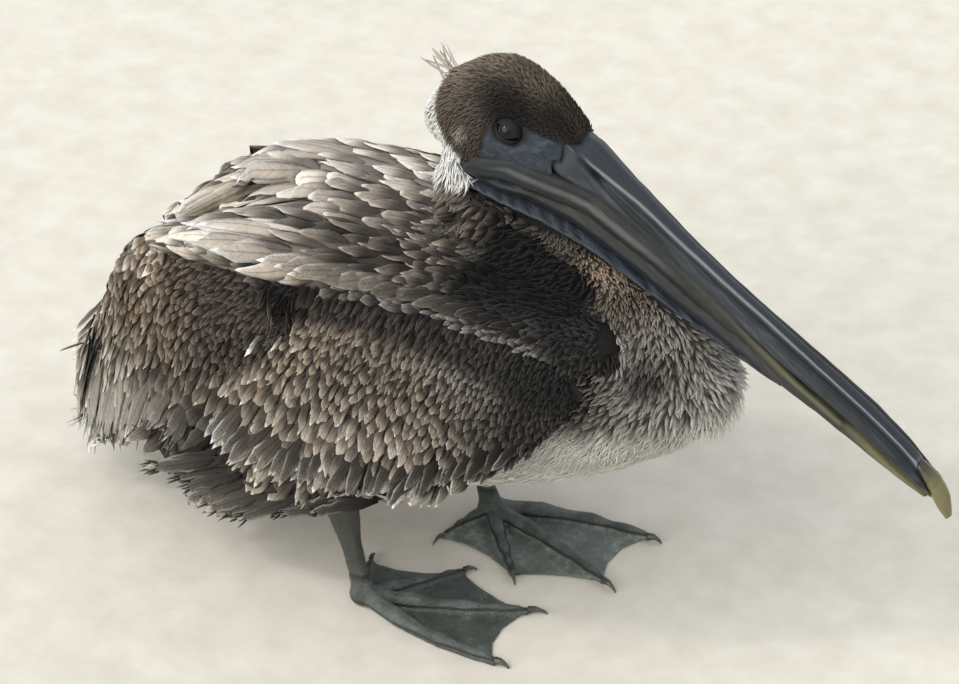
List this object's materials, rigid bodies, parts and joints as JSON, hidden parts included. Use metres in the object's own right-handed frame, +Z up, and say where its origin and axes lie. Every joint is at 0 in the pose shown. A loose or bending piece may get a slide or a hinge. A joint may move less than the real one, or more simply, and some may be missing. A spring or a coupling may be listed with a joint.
{
  "type": "brown pelican model",
  "caption": "Life-size still model of a young brown pelican standing on both feet, wings folded, neck drawn back and the long hooked bill laid along its breast, for display.",
  "frame": {"origin": "on the floor under the middle of the bird's box", "axes": "+X the way the bird faces, +Y its left side, +Z up; it stands on the plane z = 0"},
  "size_m": [0.6, 0.204, 0.3706],
  "materials": {
    "head_feathers": "short velvety brown feathers",
    "neck_feathers": "short whitish and tan feathers",
    "body_feathers": "soft hair-like feathers, streaked brown on the breast and white on the belly",
    "wing_feathers": "brown vanes with pale edges and dark quills",
    "bill": "worn slate-grey horn, grooved along its length",
    "bill_nail": "smooth olive-yellow horn",
    "pouch": "thin folded skin, blue-grey",
    "eyes": "wet gloss, dark brown",
    "leg_skin": "finely scaled grey-green skin",
    "claws": "smooth horn"
  },
  "bodies": {
    "root": {"bill_lower": "bill", "bill_nail": "bill_nail", "bill_upper": "bill", "claw_left_hind": "claws", "claw_left_inner": "claws", "claw_left_middle": "claws", "claw_left_outer": "claws", "claw_right_hind": "claws", "claw_right_inner": "claws", "claw_right_middle": "claws", "claw_right_outer": "claws", "eye_left": "eyes", "eye_right": "eyes", "foot_left": "leg_skin", "foot_right": "leg_skin", "head": "head_feathers", "neck_lower": "body_feathers", "neck_upper": "neck_feathers", "pouch": "pouch", "shank_left": "leg_skin", "shank_right": "leg_skin", "tail": "wing_feathers", "thigh_left": "body_feathers", "thigh_right": "body_feathers", "trunk": "body_feathers", "wing_left_arm": "wing_feathers", "wing_left_forearm": "wing_feathers", "wing_left_hand": "wing_feathers", "wing_left_tertials": "wing_feathers", "wing_right_arm": "wing_feathers", "wing_right_forearm": "wing_feathers", "wing_right_hand": "wing_feathers", "wing_right_tertials": "wing_feathers"}
  },
  "joints": []
}
